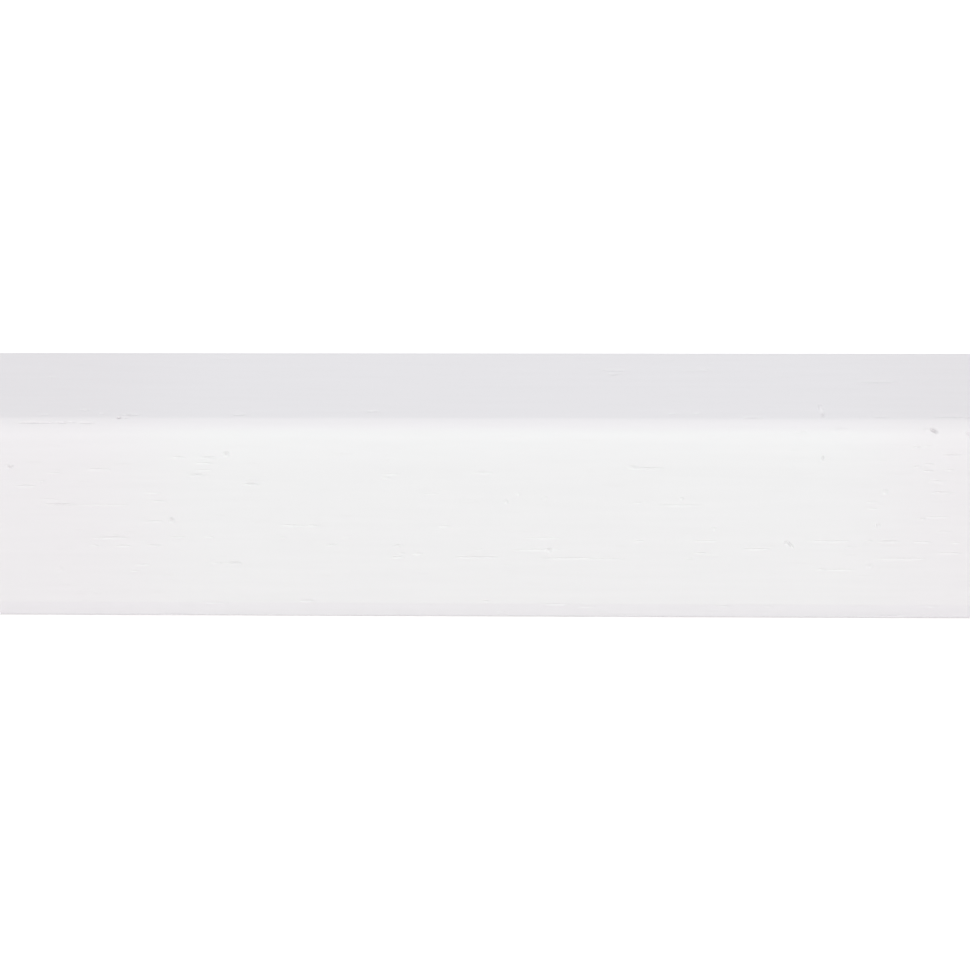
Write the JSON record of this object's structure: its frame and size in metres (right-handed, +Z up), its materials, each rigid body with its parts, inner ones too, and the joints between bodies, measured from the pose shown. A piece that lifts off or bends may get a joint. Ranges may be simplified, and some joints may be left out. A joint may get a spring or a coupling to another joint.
{
  "type": "glazing bead",
  "caption": "Straight timber glazing bead, primed white, with a gently sloping top and eased long arrises, that holds a pane in its rebate.",
  "frame": {"origin": "middle of the base, half way along the length and half way across the width", "axes": "+X along the bead, +Y from the room towards the glass, +Z up from the base to the sloping top"},
  "size_m": [2.4, 0.012, 0.018],
  "materials": {
    "primed_timber": "matt white primer over planed timber"
  },
  "bodies": {
    "root": {"glazing_bead": "primed_timber"}
  },
  "joints": []
}
